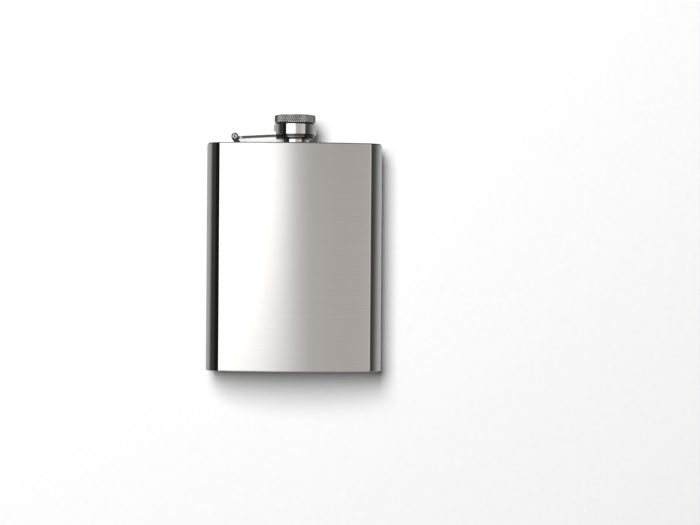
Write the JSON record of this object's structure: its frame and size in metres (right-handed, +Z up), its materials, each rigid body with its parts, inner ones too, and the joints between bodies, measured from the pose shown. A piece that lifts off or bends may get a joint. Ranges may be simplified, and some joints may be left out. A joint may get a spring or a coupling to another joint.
{
  "type": "hip flask",
  "caption": "Curved stainless steel hip flask with a short neck and a captive knurled screw cap on a hinged arm.",
  "frame": {"origin": "middle of the base: the centre of the bounding box at its lowest level", "axes": "+Z up along the neck, -Y out of the brushed convex front face, +X to the right as seen from the front; the hinge is on the -X side"},
  "size_m": [0.095, 0.0264, 0.139],
  "materials": {
    "brushed_steel": "horizontally brushed, satin",
    "satin_plate": "fine satin with polished edges",
    "polished_steel": "mirror polished",
    "knurled_steel": "diamond knurled rim, satin dome",
    "arm_steel": "satin sheet strip with polished edges",
    "hinge_steel": "plain satin",
    "black_plastic": "matte",
    "gasket_silicone": "matte, slightly translucent white"
  },
  "bodies": {
    "flask": {"front_shell": "brushed_steel", "back_shell": "brushed_steel", "top_plate": "satin_plate", "bottom_plate": "satin_plate", "neck": "polished_steel", "hinge_bracket": "hinge_steel", "hinge_pin": "polished_steel"},
    "arm": {"cap_arm": "arm_steel", "cap_collar": "polished_steel"},
    "cap": {"spacer_washer": "black_plastic", "cap_knob": "knurled_steel", "thread_insert": "polished_steel", "retaining_ring": "hinge_steel", "gasket": "gasket_silicone"}
  },
  "joints": [
    {"name": "arm_swing", "type": "hinge", "parent": "flask", "child": "arm", "pos_m": [-0.0325, -0.00169, 0.1266], "axis": [0, -1, 0], "range_deg": [0, 175]},
    {"name": "cap_turn", "type": "hinge", "parent": "arm", "child": "cap", "pos_m": [0, -0.00169, 0.1352], "axis": [0, 0, 1], "range_deg": [0, 720]}
  ]
}
